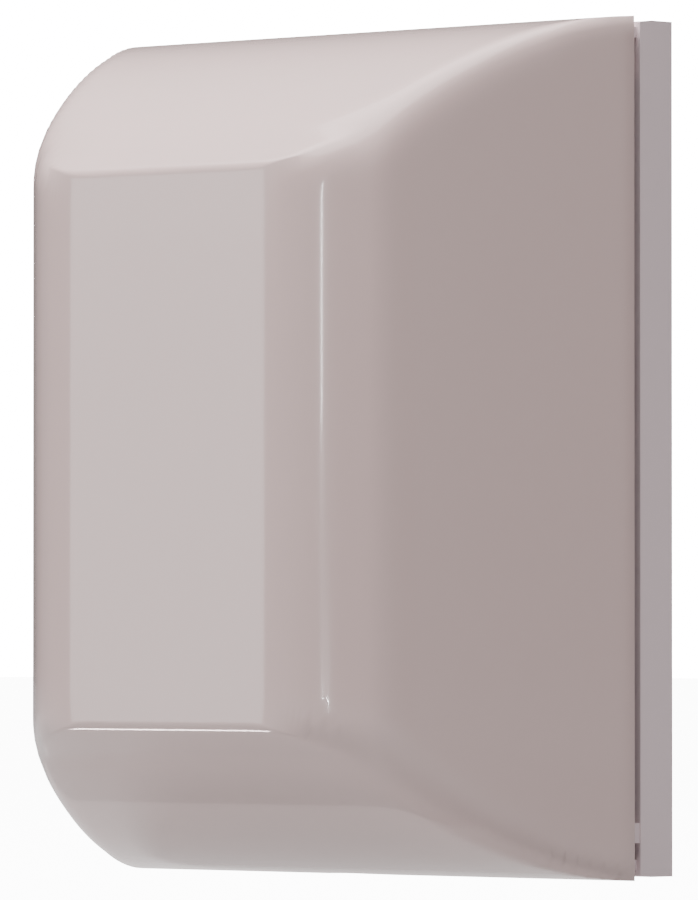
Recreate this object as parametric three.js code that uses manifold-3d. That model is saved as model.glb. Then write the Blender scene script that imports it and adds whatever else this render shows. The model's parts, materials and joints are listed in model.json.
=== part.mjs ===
// Roll-up-door opener: a milky cover hinged on a shallow tray, over a geared motor drive.
// Millimetres, +Z up. Origin: centre of the back face. The front faces -Y.
import * as THREE from 'three';
import { mergeVertices } from 'three/addons/utils/BufferGeometryUtils.js';
import Module from 'manifold-3d';

const wasm = await Module();
wasm.setup();

// ---- driving dimensions ----
const gap = 0.3; // between touching pieces

const cover = {
  rimY: -26,
  depth: 137.5,
  wall: 3,
  plan: { flat: 58, shoulder: 65.8, turn: 0.827, rim: 153, endSlope: 0.34 },
  side: { flat: 120.5, shoulder: 6.5, turn: 0.84, rim: 190, endSlope: 0.03 },
  hip: 29,
  hipStart: 15,
  rings: 14,
};
const tray = { halfWidth: 152, halfHeight: 188.5, plate: 13.2, step: 20.2, taper: 0.8, back: 3 };
tray.innerHalfWidth = tray.halfWidth - 6;
tray.innerHalfHeight = tray.halfHeight - 6;

const chassis = { back: -19, front: -21, halfWidth: 138, halfHeight: 172 };
const posts = [[-126, -150], [126, -150], [-126, 155], [126, 155]];

const sleeve = { x: 0, z: 70, bore: 17.5, radius: 21, front: -80 };
const ring = { teeth: 56, module: 2.5, back: -5, thick: 12, legRadius: 45 };
const pinion = { teeth: 14, module: 2.5 };
const wheel = { teeth: 60, module: 1.5, back: -27, thick: 8 };
const motorPinion = { teeth: 12, module: 1.5 };
const bridge = { back: -39, front: -41 };
const motor = { radius: 35, length: 78, back: bridge.front - gap };

const centres = (a, b) => (a.module * (a.teeth + b.teeth)) / 2;
const layshaftAngle = -Math.PI / 4;
const layshaft = {
  x: sleeve.x + centres(ring, pinion) * Math.cos(layshaftAngle),
  z: sleeve.z + centres(ring, pinion) * Math.sin(layshaftAngle),
};
const motorAngle = Math.PI * 1.22;
motor.x = layshaft.x + centres(wheel, motorPinion) * Math.cos(motorAngle);
motor.z = layshaft.z + centres(wheel, motorPinion) * Math.sin(motorAngle);

const hinge = { x: -150.9, y: -23.4, knuckle: 2, pin: 0.9, heights: [-169, 169] };
const release = { x: 62, width: 12, back: -7.5, thick: 3, top: -46, pivot: [30, -40], leverBack: -11.5 };
const buttonPlaces = [92, 106, 120];
const button = { y: -9, radius: 4.4, flange: 5.6 };
const board = { left: -134, right: -44, bottom: -140, top: -52, y: -31 };

// ---- finishes ----
const finish = (color, roughness, metalness) => ({ color, roughness, metalness });
const milky = finish(0xd9cfcd, 0.28, 0);
const trayPlastic = finish(0xc9bdbe, 0.42, 0);
const steel = finish(0xa9adb2, 0.38, 1);
const zinc = finish(0xc2bfb2, 0.42, 1);
const darkSteel = finish(0x55585c, 0.45, 1);
const brass = finish(0xc8a24c, 0.35, 1);
const nylon = finish(0xe6e2d6, 0.55, 0);
const blackPlastic = finish(0x202224, 0.5, 0);
const greenBoard = finish(0x1f5a3a, 0.45, 0);
const copper = finish(0xb4632e, 0.4, 1);
const bluePlastic = finish(0x2a4f8a, 0.45, 0);
const redPlastic = finish(0xa8302a, 0.5, 0);
const lens = finish(0xf4f1e6, 0.2, 0);

// ---- building helpers ----
const opener = new THREE.Group();

const toSolid = (geometry) => {
  const plain = geometry.index ? geometry.toNonIndexed() : geometry.clone();
  plain.deleteAttribute('normal');
  plain.deleteAttribute('uv');
  const merged = mergeVertices(plain, 1e-4);
  const mesh = new wasm.Mesh({
    numProp: 3,
    vertProperties: new Float32Array(merged.attributes.position.array),
    triVerts: new Uint32Array(merged.index.array),
  });
  return new wasm.Manifold(mesh);
};

const toGeometry = (solid) => {
  const mesh = solid.getMesh();
  const geometry = new THREE.BufferGeometry();
  geometry.setAttribute('position', new THREE.BufferAttribute(mesh.vertProperties, 3));
  geometry.setIndex(new THREE.BufferAttribute(mesh.triVerts, 1));
  geometry.computeVertexNormals();
  return geometry;
};

const add = (parent, name, shape, look, x = 0, y = 0, z = 0) => {
  const geometry = shape.isBufferGeometry ? shape : toGeometry(shape);
  const mesh = new THREE.Mesh(geometry, new THREE.MeshStandardMaterial(look));
  mesh.name = name;
  mesh.position.set(x, y, z);
  parent.add(mesh);
  return mesh;
};

// A box from its lowest to its highest corner.
const block = (low, high) => {
  const size = high.map((value, i) => value - low[i]);
  const middle = high.map((value, i) => (value + low[i]) / 2);
  return new THREE.BoxGeometry(...size).translate(...middle);
};

// An outline in x and z, pushed from one y back or forward to another.
const prismY = (shape, yLow, yHigh) => {
  const options = { depth: yHigh - yLow, bevelEnabled: false };
  const geometry = new THREE.ExtrudeGeometry(shape, options);
  return geometry.rotateX(Math.PI / 2).translate(0, yHigh, 0);
};

// A regular outline whose corners lie on the circle.
const circle = (radius, x = 0, z = 0, sides = 24) => {
  const corners = Array.from({ length: sides }, (_, i) => {
    const angle = (i * Math.PI * 2) / sides;
    return new THREE.Vector2(x + radius * Math.cos(angle), z + radius * Math.sin(angle));
  });
  return new THREE.Shape(corners);
};

// A regular hole whose flats touch the circle, so that nothing inside it is cut.
const hole = (radius, x = 0, z = 0, sides = 24) => circle(radius / Math.cos(Math.PI / sides), x, z, sides);

const disc = (radius, yLow, yHigh, x = 0, z = 0, segments = 24) => {
  const geometry = new THREE.CylinderGeometry(radius, radius, yHigh - yLow, segments);
  return geometry.translate(x, (yLow + yHigh) / 2, z);
};

const rod = (radius, zLow, zHigh, x, y, segments = 16) => {
  const geometry = new THREE.CylinderGeometry(radius, radius, zHigh - zLow, segments);
  return geometry.rotateX(Math.PI / 2).translate(x, y, (zLow + zHigh) / 2);
};

// A turned piece along Y: the profile lists radius and y, and starts and ends on the axis or closes.
// It is taken round anticlockwise, which turns the faces outwards.
const turned = (profile, segments = 24) => {
  const points = profile.map(([radius, y]) => new THREE.Vector2(radius, y));
  if (THREE.ShapeUtils.area(points) < 0) points.reverse();
  return new THREE.LatheGeometry(points, segments);
};

const join = (...shapes) => shapes.map(toSolid).reduce((whole, next) => whole.add(next));
const cut = (solid, ...shapes) => shapes.reduce((left, shape) => left.subtract(toSolid(shape)), solid);

const toothedOutline = ({ teeth, module }, firstTooth, bore) => {
  const pitch = (module * teeth) / 2;
  const tip = pitch + module * 0.85;
  const root = pitch - module * 1.2;
  const step = (Math.PI * 2) / teeth;
  const corners = [[root, -0.29], [tip, -0.11], [tip, 0.11], [root, 0.29]];
  const shape = new THREE.Shape();
  for (let tooth = 0; tooth < teeth; tooth += 1) {
    corners.forEach(([radius, share], i) => {
      const angle = firstTooth + (tooth + share) * step;
      const point = [radius * Math.cos(angle), radius * Math.sin(angle)];
      if (tooth === 0 && i === 0) shape.moveTo(...point);
      else shape.lineTo(...point);
    });
  }
  shape.closePath();
  shape.holes.push(hole(bore, 0, 0, bore > 10 ? 36 : 16));
  return shape;
};

// ---- casing ----
// Half of an outline: a flat front, a round shoulder, then a gently crowned flank out to the rim.
// The inset moves it inwards, square to the surface.
const coverHalf = ({ flat, shoulder, turn, rim, endSlope }, inset) => {
  const path = new THREE.Path();
  const startSlope = 1 / Math.tan(turn);
  const across = flat + shoulder * Math.sin(turn);
  const depth = shoulder * (1 - Math.cos(turn));
  const run = (rim - endSlope * (cover.depth - depth) - across) / (startSlope - endSlope);
  path.absarc(flat, shoulder, shoulder, -Math.PI / 2, turn - Math.PI / 2, false);
  path.quadraticCurveTo(across + startSlope * run, depth + run, rim, cover.depth);
  const points = path.getPoints(32);
  return points.map((point, i) => {
    const before = points[Math.max(i - 1, 0)];
    const after = points[Math.min(i + 1, points.length - 1)];
    const along = i === 0 ? new THREE.Vector2(1, 0) : after.clone().sub(before).normalize();
    return [point.x - along.y * inset, point.y + along.x * inset];
  });
};

// The value at a place along a list of pairs that rise in their first number.
const readAlong = (pairs, place) => {
  const next = pairs.findIndex(([at]) => at > place);
  if (next === 0) return pairs[0][1];
  if (next < 0) return pairs[pairs.length - 1][1];
  const [at0, value0] = pairs[next - 1];
  const [at1, value1] = pairs[next];
  return value0 + ((value1 - value0) * (place - at0)) / (at1 - at0);
};

const swap = (pairs) => pairs.map(([first, second]) => [second, first]);

// The deeper of the two outlines at a point, softened where they meet in a hip.
const softDepth = (a, b) => {
  const deeper = Math.max(a, b);
  const fade = Math.min(3 * (1 - deeper / cover.depth), deeper / cover.hipStart, 1);
  const radius = Math.max(cover.hip * fade, 1e-6);
  const share = Math.max(radius - Math.abs(a - b), 0) / radius;
  return deeper + share * share * radius * 0.25;
};

// A square grid laid over the front: its rings are level lines, the last one is the rim.
const coverSkin = (inset, pastRim) => {
  const frontY = cover.rimY - cover.depth;
  const plan = coverHalf(cover.plan, inset);
  const side = coverHalf(cover.side, inset);
  const levels = Array.from({ length: cover.rings }, (_, i) => {
    const share = i / (cover.rings - 1);
    return inset + 0.4 + (cover.depth - inset - 0.4) * share ** 1.6;
  });
  const halves = levels.map((level) => [readAlong(swap(plan), level), readAlong(swap(side), level)]);
  const place = (right, up, isCap) => {
    const number = Math.max(Math.abs(right), Math.abs(up));
    const [halfWidth, halfHeight] = halves[Math.max(number - 2, 0)];
    const share = number === 0 ? 0 : Math.min(number / 2, 1) / number;
    const x = halfWidth * right * share;
    const z = halfHeight * up * share;
    const depth = softDepth(readAlong(plan, Math.abs(x)), readAlong(side, Math.abs(z)));
    return [x, frontY + (isCap ? cover.depth + pastRim : Math.min(depth, cover.depth)), z];
  };
  const count = cover.rings + 1;
  const across = Array.from({ length: 2 * count + 1 }, (_, i) => i - count);
  const corners = [];
  for (const isCap of [false, true]) {
    for (const up of across) for (const right of across) corners.push(...place(right, up, isCap));
  }
  const row = across.length;
  const faces = [];
  const square = (a, b, c, d, isRising) => {
    faces.push(...(isRising ? [a, b, c, a, c, d] : [a, b, d, b, c, d]));
  };
  for (let i = 0; i < row - 1; i += 1) {
    for (let j = 0; j < row - 1; j += 1) {
      const low = i * row + j;
      const isRising = (i < count) === (j < count);
      square(low, low + 1, low + row + 1, low + row, isRising);
      const cap = low + row * row;
      square(cap, cap + row, cap + row + 1, cap + 1, isRising);
    }
  }
  for (let i = 0; i < row - 1; i += 1) {
    const last = row - 1;
    for (const [from, to] of [
      [i + 1, i], [last * row + i, last * row + i + 1],
      [i * row, (i + 1) * row], [(i + 1) * row + last, i * row + last],
    ]) square(from, to, to + row * row, from + row * row, true);
  }
  const grid = new THREE.BufferGeometry();
  grid.setAttribute('position', new THREE.Float32BufferAttribute(corners, 3));
  grid.setIndex(faces);
  return toSolid(grid);
};

const hingeEar = (zLow, zHigh) => {
  const web = [[-152.6, -30, zLow], [-149.1, hinge.y, zHigh]];
  return join(rod(hinge.knuckle, zLow, zHigh, hinge.x, hinge.y), block(...web));
};

const snapTab = (z) => join(
  block([143.3, -20, z - 4.3], [145.6, -16, z + 4.3]),
  block([143.3, -34, z - 4.3], [145.6, -19, z + 4.3]),
  block([145, -34, z - 4.3], [148.8, -26.6, z + 4.3]),
);

const makeCover = () => {
  let shell = coverSkin(0, 10).subtract(coverSkin(cover.wall, 12));
  shell = shell.trimByPlane([0, -1, 0], -cover.rimY);
  const notch = { radius: 30, x: -12, rise: 8 };
  const notchY = cover.rimY + notch.radius - notch.rise;
  shell = cut(shell, rod(notch.radius, -200, -170, notch.x, notchY, 40));
  for (const z of hinge.heights) {
    shell = shell.add(hingeEar(z - 9, z - 4.2)).add(snapTab(z));
    shell = cut(shell, rod(hinge.pin + gap, z - 12, z + 12, hinge.x, hinge.y));
  }
  add(opener, 'front_cover', shell, milky);
};

const trayBand = (half, endHalf) => {
  const shape = new THREE.Shape();
  shape.moveTo(-half, 0);
  shape.lineTo(-half, -tray.plate);
  shape.lineTo(-endHalf, -tray.step);
  shape.lineTo(endHalf, -tray.step);
  shape.lineTo(half, -tray.plate);
  shape.lineTo(half, 0);
  shape.closePath();
  return shape;
};

const makeTray = () => {
  const options = { depth: 400, bevelEnabled: false };
  const plan = new THREE.ExtrudeGeometry(trayBand(tray.halfWidth, tray.halfWidth - tray.taper), options);
  plan.translate(0, 0, -200);
  const side = new THREE.ExtrudeGeometry(trayBand(tray.halfHeight, tray.halfHeight - tray.taper), options);
  side.rotateZ(Math.PI).rotateY(Math.PI / 2).rotateX(Math.PI).translate(-200, 0, 0);
  let body = toSolid(plan).intersect(toSolid(side));
  const inner = [tray.innerHalfWidth, tray.innerHalfHeight];
  body = cut(body, block([-inner[0], -30, -inner[1]], [inner[0], -tray.back, inner[1]]));
  const lip = { inside: 180.7, outside: 185.5, x: 149, front: cover.rimY + gap };
  for (const side of [-1, 1]) {
    const heights = [side * lip.inside, side * lip.outside].sort((a, b) => a - b);
    body = body.add(toSolid(block([-lip.x, lip.front, heights[0]], [lip.x, -19.5, heights[1]])));
  }
  for (const [x, z] of posts) body = body.add(toSolid(disc(6, chassis.back + gap, -1, x, z, 16)));
  for (const z of hinge.heights) {
    const ear = join(
      rod(hinge.knuckle, z - 3.8, z + 4, hinge.x, hinge.y),
      block([-152.1, hinge.y, z - 3.8], [-145.9, -19.5, z + 4]),
    );
    body = cut(body.add(ear), rod(hinge.pin + gap, z - 6, z + 2.5, hinge.x, hinge.y));
  }
  const [catchZ] = hinge.heights;
  body = body.add(toSolid(block([147.6, -25.4, catchZ - 4.4], [150.6, -19.5, catchZ + 4.4])));
  body = cut(body, disc(60, -10, 5, sleeve.x, sleeve.z, 48));
  for (const [x, z] of [[-100, -120], [100, -120], [-100, 150], [100, 150]]) {
    body = cut(body, disc(5, -10, 5, x, z, 16), disc(3, -10, 5, x, z + 7, 12));
    body = cut(body, block([x - 2.9, -10, z], [x + 2.9, 5, z + 7]));
  }
  for (const x of buttonPlaces) body = cut(body, rod(button.radius + gap, -200, -170, x, button.y));
  const slideRoom = release.width / 2 + gap;
  const slideFront = release.back - release.thick - gap;
  body = cut(body, block(
    [release.x - slideRoom, slideFront, -200],
    [release.x + slideRoom, release.back + gap, -170],
  ));
  const cordHole = new THREE.CylinderGeometry(5.3, 5.3, 20, 20).rotateZ(Math.PI / 2);
  body = cut(body, cordHole.translate(-149, -9, -150));
  add(opener, 'back_tray', body, trayPlastic);
};

const makeHingePins = () => {
  const names = ['hinge_pin_lower', 'hinge_pin_upper'];
  hinge.heights.forEach((z, i) => {
    add(opener, names[i], rod(hinge.pin, 0, 10.5, 0, 0, 12), steel, hinge.x, hinge.y, z - 8.6);
  });
};

// ---- chassis ----
const makeChassis = () => {
  const outline = block(
    [-chassis.halfWidth, chassis.front, -chassis.halfHeight],
    [chassis.halfWidth, chassis.back, chassis.halfHeight],
  );
  let plate = toSolid(outline);
  plate = cut(plate, disc(sleeve.radius + gap, -30, -10, sleeve.x, sleeve.z, 32));
  plate = cut(plate, disc(9, -30, -10, layshaft.x, layshaft.z));
  for (const [x, z] of posts) plate = cut(plate, disc(2.3, -30, -10, x, z, 12));
  add(opener, 'chassis_plate', plate, zinc);
  posts.forEach(([x, z], i) => {
    const screw = turned([[0, -2.9], [3.8, -2.9], [4, -2], [4, -gap], [2, -gap], [2, 1.7], [0, 1.7]], 14);
    add(opener, `chassis_screw_${i + 1}`, screw, steel, x, chassis.front, z);
  });
};

const makeSleeve = () => {
  const flange = { radius: 34, thick: 3 };
  const back = chassis.front - gap;
  const profile = [
    [sleeve.bore, 0], [sleeve.bore, sleeve.front], [sleeve.radius, sleeve.front],
    [sleeve.radius, back - flange.thick], [flange.radius, back - flange.thick],
    [flange.radius, back], [sleeve.radius, back], [sleeve.radius, 0], [sleeve.bore, 0],
  ];
  add(opener, 'axle_sleeve', turned(profile, 36), steel, sleeve.x, 0, sleeve.z);
};

// ---- output ----
const makeOutput = () => {
  const output = new THREE.Group();
  output.position.set(sleeve.x, 0, sleeve.z);
  opener.add(output);
  const bush = { inside: sleeve.radius + gap, outside: sleeve.radius + 3 };
  const bushShape = circle(bush.outside, 0, 0, 36);
  bushShape.holes.push(hole(bush.inside, 0, 0, 36));
  add(output, 'sleeve_bush', prismY(bushShape, ring.back - ring.thick, ring.back), brass);
  const outline = toothedOutline(ring, layshaftAngle, bush.outside + gap);
  const stud = 4;
  for (const side of [-1, 1]) outline.holes.push(hole(stud + gap, side * ring.legRadius, 0, 16));
  for (let i = 0; i < 4; i += 1) {
    const angle = Math.PI / 4 + (i * Math.PI) / 2;
    outline.holes.push(hole(8, ring.legRadius * Math.cos(angle), ring.legRadius * Math.sin(angle), 16));
  }
  add(output, 'ring_gear', prismY(outline, ring.back - ring.thick, ring.back), nylon);
  const leg = { radius: 8, reach: 42, chamfer: 1.5 };
  const profile = [
    [0, ring.back - ring.thick + 1], [stud, ring.back - ring.thick + 1], [stud, ring.back + gap],
    [leg.radius, ring.back + gap], [leg.radius, leg.reach - leg.chamfer],
    [leg.radius - leg.chamfer, leg.reach], [0, leg.reach],
  ];
  add(output, 'drive_leg_left', turned(profile), darkSteel, -ring.legRadius);
  add(output, 'drive_leg_right', turned(profile), darkSteel, ring.legRadius);
};

// ---- reduction ----
const makeLayshaft = () => {
  const group = new THREE.Group();
  group.position.set(layshaft.x, 0, layshaft.z);
  opener.add(group);
  const shaft = { radius: 5, back: -4, front: bridge.front - 4 };
  add(group, 'layshaft', disc(shaft.radius, shaft.front, shaft.back, 0, 0, 20), steel);
  const bore = shaft.radius + gap;
  const pinionOutline = toothedOutline(pinion, layshaftAngle + Math.PI + Math.PI / pinion.teeth, bore);
  add(group, 'layshaft_pinion', prismY(pinionOutline, ring.back - ring.thick, ring.back), steel);
  const wheelOutline = toothedOutline(wheel, motorAngle, bore);
  for (let i = 0; i < 5; i += 1) {
    const angle = (i * Math.PI * 2) / 5;
    wheelOutline.holes.push(hole(9, 26 * Math.cos(angle), 26 * Math.sin(angle), 16));
  }
  add(group, 'intermediate_gear', prismY(wheelOutline, wheel.back - wheel.thick, wheel.back), nylon);
};

const standoffPlaces = [[-30, -72], [112, -40], [112, 50]];

const makeBridge = () => {
  const shape = new THREE.Shape();
  shape.moveTo(-40, -82);
  [[40, -82], [122, -50], [122, 60], [50, 60], [28, 36], [-40, 0]].forEach((p) => shape.lineTo(...p));
  shape.closePath();
  shape.holes.push(hole(5 + gap, layshaft.x, layshaft.z));
  shape.holes.push(hole(12, motor.x, motor.z));
  for (const [x, z] of standoffPlaces) shape.holes.push(hole(2.3, x, z, 12));
  add(opener, 'gear_bridge', prismY(shape, bridge.front, bridge.back), zinc);
  standoffPlaces.forEach(([x, z], i) => {
    const length = chassis.front - gap - (bridge.back + gap);
    const post = disc(5, -length, 0, 0, 0, 6);
    add(opener, `bridge_standoff_${i + 1}`, post, brass, x, chassis.front - gap, z);
  });
};

const makeMotor = () => {
  const group = new THREE.Group();
  group.position.set(motor.x, 0, motor.z);
  opener.add(group);
  const front = motor.back - motor.length;
  const bearing = 3 + gap;
  const can = [
    [bearing, motor.back], [motor.radius - 2, motor.back], [motor.radius, motor.back - 2],
    [motor.radius, front], [motor.radius - 2, front], [motor.radius - 2, motor.back - 4],
    [bearing, motor.back - 4], [bearing, motor.back],
  ];
  add(group, 'motor_can', turned(can, 32), darkSteel);
  const capFront = front - 12;
  const cap = [
    [bearing, front - gap], [motor.radius, front - gap], [motor.radius, capFront + 3],
    [motor.radius - 4, capFront], [bearing, capFront], [bearing, front - gap],
  ];
  add(group, 'motor_end_cap', turned(cap, 32), blackPlastic);
  const armature = [
    [0, capFront - 9], [3, capFront - 9], [3, front + 8], [22, front + 8], [22, motor.back - 12],
    [3, motor.back - 12], [3, wheel.back + 2.5], [0, wheel.back + 2.5],
  ];
  add(group, 'motor_armature', turned(armature, 20), copper);
  const start = motorAngle + Math.PI + Math.PI / motorPinion.teeth;
  const outline = toothedOutline(motorPinion, start, 3 + gap);
  add(group, 'motor_pinion', prismY(outline, wheel.back - wheel.thick, wheel.back), steel);
  const disk = circle(16);
  disk.holes.push(hole(3 + gap, 0, 0, 16));
  add(group, 'encoder_disc', prismY(disk, capFront - 5, capFront - 3.5), blackPlastic);
  add(opener, 'encoder_board', block([-9, 0, 0], [9, 1.6, 22]), greenBoard,
    motor.x, capFront - 9, motor.z + 19);
};

// ---- manual release ----
const makeRelease = () => {
  const half = release.width / 2;
  const front = release.back - release.thick;
  const bar = join(
    block([-half, front, -189.9], [half, release.back, release.top]),
    block([-half - 5, front, -171], [half + 5, release.back, -167]),
  );
  add(opener, 'release_slide', bar, redPlastic, release.x);
  const [pivotX, pivotZ] = release.pivot;
  const armX = release.x - pivotX;
  const lever = new THREE.Shape();
  lever.moveTo(-7, 9);
  [[7, 14], [14, 26], [7, 30], [-3, 22], [-9, 6], [-8, -8], [0, -12], [armX, -18], [armX + 6, -12],
    [armX, -6], [10, -2]].forEach((p) => lever.lineTo(...p));
  lever.closePath();
  lever.holes.push(hole(3 + gap, 0, 0, 16));
  const leverBack = release.leverBack;
  add(opener, 'release_lever', prismY(lever, leverBack - 3, leverBack), zinc, pivotX, 0, pivotZ);
  const pin = turned([[0, -18.6], [5, -18.6], [5, -15.1], [3, -15.1], [3, -4], [0, -4]], 16);
  add(opener, 'release_pivot_pin', pin, steel, pivotX, 0, pivotZ);
  class Helix extends THREE.Curve {
    getPoint(t) {
      const angle = t * Math.PI * 2 * 7;
      return new THREE.Vector3(3.6 * Math.cos(angle), 3.6 * Math.sin(angle), t * 34);
    }
  }
  const section = new THREE.Shape().absarc(0, 0, 0.6, 0, Math.PI * 2, false);
  const options = { steps: 56, extrudePath: new Helix(), curveSegments: 3, bevelEnabled: false };
  const spring = new THREE.ExtrudeGeometry(section, options);
  add(opener, 'release_spring', spring, steel, release.x - 16, -11, -174);
};

// ---- controls and electronics ----
const makeButtons = () => {
  buttonPlaces.forEach((x, i) => {
    const stem = rod(button.radius, -190, -180.6, 0, 0);
    const flange = rod(button.flange, -182.2, -180.6, 0, 0);
    const name = ['open_close_button', 'lamp_button', 'learn_button'][i];
    add(opener, name, join(stem, flange), [redPlastic, nylon, bluePlastic][i], x, button.y);
  });
  add(opener, 'button_board', block([86, -17, -178], [126, -4, -176.4]), greenBoard);
};

const makeTransformer = () => {
  const centre = { x: -84, z: 2 };
  const back = chassis.front - gap;
  let core = toSolid(block([-33, back - 34, -28], [33, back, 28]));
  for (const side of [-1, 1]) {
    const inside = [side * 11, side * 22].sort((a, b) => a - b);
    core = cut(core, block([inside[0], back - 60, -17], [inside[1], back + 20, 17]));
  }
  add(opener, 'transformer_core', core, darkSteel, centre.x, 0, centre.z);
  let coil = toSolid(block([-21.5, back - 46, -16.5], [21.5, back - 34 - gap, 16.5]));
  for (const side of [-1, 1]) {
    const inside = [side * 11.4, side * 21.5].sort((a, b) => a - b);
    coil = coil.add(toSolid(block([inside[0], back - 40, -16.5], [inside[1], back - 1, 16.5])));
  }
  add(opener, 'transformer_coil', coil, copper, centre.x, 0, centre.z);
};

const makeBoard = () => {
  const corners = [
    [board.left + 6, board.bottom + 6], [board.right - 6, board.bottom + 6],
    [board.left + 6, board.top - 6], [board.right - 6, board.top - 6],
  ];
  let plate = toSolid(block([board.left, board.y - 1.6, board.bottom], [board.right, board.y, board.top]));
  for (const [x, z] of corners) plate = cut(plate, disc(1.8, -40, -20, x, z, 10));
  add(opener, 'main_board', plate, greenBoard);
  corners.forEach(([x, z], i) => {
    const post = disc(3, board.y + gap, chassis.front - gap, 0, 0, 8);
    add(opener, `board_spacer_${i + 1}`, post, nylon, x, 0, z);
  });
  const face = board.y - 1.6 - gap;
  const onBoard = (name, size, x, z, look) => {
    const [width, height, length] = size;
    const shape = block([-width / 2, -height, -length / 2], [width / 2, 0, length / 2]);
    add(opener, name, shape, look, x, face, z);
  };
  onBoard('relay_open', [16, 16, 20], -108, -76, bluePlastic);
  onBoard('relay_close', [16, 16, 20], -86, -76, bluePlastic);
  onBoard('terminal_block', [50, 12, 10], -89, -130, bluePlastic);
  onBoard('fuse_holder', [22, 8, 8], -108, -108, blackPlastic);
  onBoard('radio_module', [24, 5, 18], -64, -108, greenBoard);
  const capacitor = turned([[0, -25], [8, -25], [9, -24], [9, 0], [0, 0]], 20);
  add(opener, 'capacitor', capacitor, blackPlastic, -62, face, -78);
};

const makeLamp = () => {
  const back = chassis.front - gap;
  const arm = { z: 148, front: -102 };
  const bracket = join(
    block([-50, back - 2, 126], [50, back, arm.z]),
    block([-50, arm.front, arm.z - 2], [50, back, arm.z]),
    block([-60, arm.front, 98], [60, arm.front + 2, arm.z]),
  );
  add(opener, 'lamp_bracket', bracket, zinc);
  const boardFront = arm.front - gap - 1.6;
  add(opener, 'lamp_board', block([-56, boardFront, 102], [56, arm.front - gap, 144]), lens);
  let strip = toSolid(block([-54, boardFront - gap - 2, 112], [54, boardFront - gap, 134]));
  for (let i = -3; i <= 3; i += 1) {
    const dome = turned([[0, -5.5], [3.4, -4.6], [5.4, -2], [5.4, 0], [0, 0]], 12);
    strip = strip.add(toSolid(dome.translate(i * 15, boardFront - gap - 1, 123)));
  }
  add(opener, 'lamp_lens_strip', strip, lens);
};

const makeGrommet = () => {
  const collar = [[3, -4.6], [5, -4.6], [5, 1.9], [6.6, 1.9], [6.6, 4], [3, 4], [3, -4.6]];
  const grommet = turned(collar, 20).rotateZ(Math.PI / 2);
  add(opener, 'cord_grommet', grommet, blackPlastic, -150.4, -9, -150);
};

// Two leads held between the motor's end cap and the board.
const makeLeads = () => {
  const capFront = motor.back - motor.length - 12;
  [['motor_lead_red', redPlastic, 0], ['motor_lead_black', blackPlastic, 5]].forEach(([name, look, shift]) => {
    const points = [
      [motor.x - 26, capFront - 0.6, motor.z - 4],
      [motor.x - 28, capFront - 6, motor.z - 6],
      [motor.x - 44, capFront - 1, motor.z - 14],
      [motor.x - 58, -92, motor.z - 34],
      [motor.x - 68, -62, motor.z - 60],
      [-62, -50, -122],
      [-68, -47.2, -128],
    ];
    const shifted = points.map(([x, y, z]) => new THREE.Vector3(x - shift, y, z + shift * 0.8));
    const route = new THREE.CatmullRomCurve3(shifted);
    const section = new THREE.Shape().absarc(0, 0, 1.3, 0, Math.PI * 2, false);
    const options = { steps: 36, extrudePath: route, curveSegments: 4, bevelEnabled: false };
    add(opener, name, new THREE.ExtrudeGeometry(section, options), look);
  });
};

makeTray();
makeCover();
makeHingePins();
makeChassis();
makeSleeve();
makeOutput();
makeLayshaft();
makeBridge();
makeMotor();
makeRelease();
makeButtons();
makeTransformer();
makeBoard();
makeLamp();
makeGrommet();
makeLeads();

export default opener;
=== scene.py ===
import json
import math

import bpy
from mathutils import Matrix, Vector

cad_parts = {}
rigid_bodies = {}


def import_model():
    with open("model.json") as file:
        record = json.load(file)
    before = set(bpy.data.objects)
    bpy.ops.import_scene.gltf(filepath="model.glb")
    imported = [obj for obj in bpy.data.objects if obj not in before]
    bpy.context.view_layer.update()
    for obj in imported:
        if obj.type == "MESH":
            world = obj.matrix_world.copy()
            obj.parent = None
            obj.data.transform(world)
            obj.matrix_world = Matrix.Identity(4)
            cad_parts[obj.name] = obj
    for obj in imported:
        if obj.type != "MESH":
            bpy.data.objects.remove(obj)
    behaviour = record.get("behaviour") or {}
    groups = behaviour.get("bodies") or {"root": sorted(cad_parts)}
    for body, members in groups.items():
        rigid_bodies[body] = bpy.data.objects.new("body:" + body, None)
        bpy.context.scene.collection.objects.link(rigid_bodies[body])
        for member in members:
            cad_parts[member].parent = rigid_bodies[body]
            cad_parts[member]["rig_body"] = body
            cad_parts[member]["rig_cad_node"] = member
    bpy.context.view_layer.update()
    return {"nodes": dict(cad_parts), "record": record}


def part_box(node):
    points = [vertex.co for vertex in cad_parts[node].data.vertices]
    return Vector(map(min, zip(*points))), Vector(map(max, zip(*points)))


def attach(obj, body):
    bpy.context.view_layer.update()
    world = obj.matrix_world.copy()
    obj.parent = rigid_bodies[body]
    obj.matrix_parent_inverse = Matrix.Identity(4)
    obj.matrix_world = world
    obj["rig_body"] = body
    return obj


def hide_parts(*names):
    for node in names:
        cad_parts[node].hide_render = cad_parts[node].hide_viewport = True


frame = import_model()

mm = 0.001
context = bpy.context


def deselectAll():
    if context.object and context.object.mode != "OBJECT":
        bpy.ops.object.mode_set(mode="OBJECT")
    for obj in context.selected_objects:
        obj.select_set(False)


def pick(obj):
    deselectAll()
    obj.select_set(True)
    context.view_layer.objects.active = obj
    return obj


def named(name):
    obj = context.active_object
    obj.name = name
    obj.data.name = name
    return obj


def place(obj):  # puts the object's place into its mesh
    pick(obj)
    bpy.ops.object.transform_apply(location=True, rotation=True, scale=True)
    return obj


def applyModifier(obj, kind, **values):
    pick(obj)
    modifier = obj.modifiers.new(kind.lower(), kind)
    for key, value in values.items():
        setattr(modifier, key, value)
    bpy.ops.object.modifier_apply(modifier=modifier.name)
    return obj


def smooth(obj, degrees=35):
    pick(obj)
    bpy.ops.object.shade_smooth_by_angle(angle=math.radians(degrees))
    return obj


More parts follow.
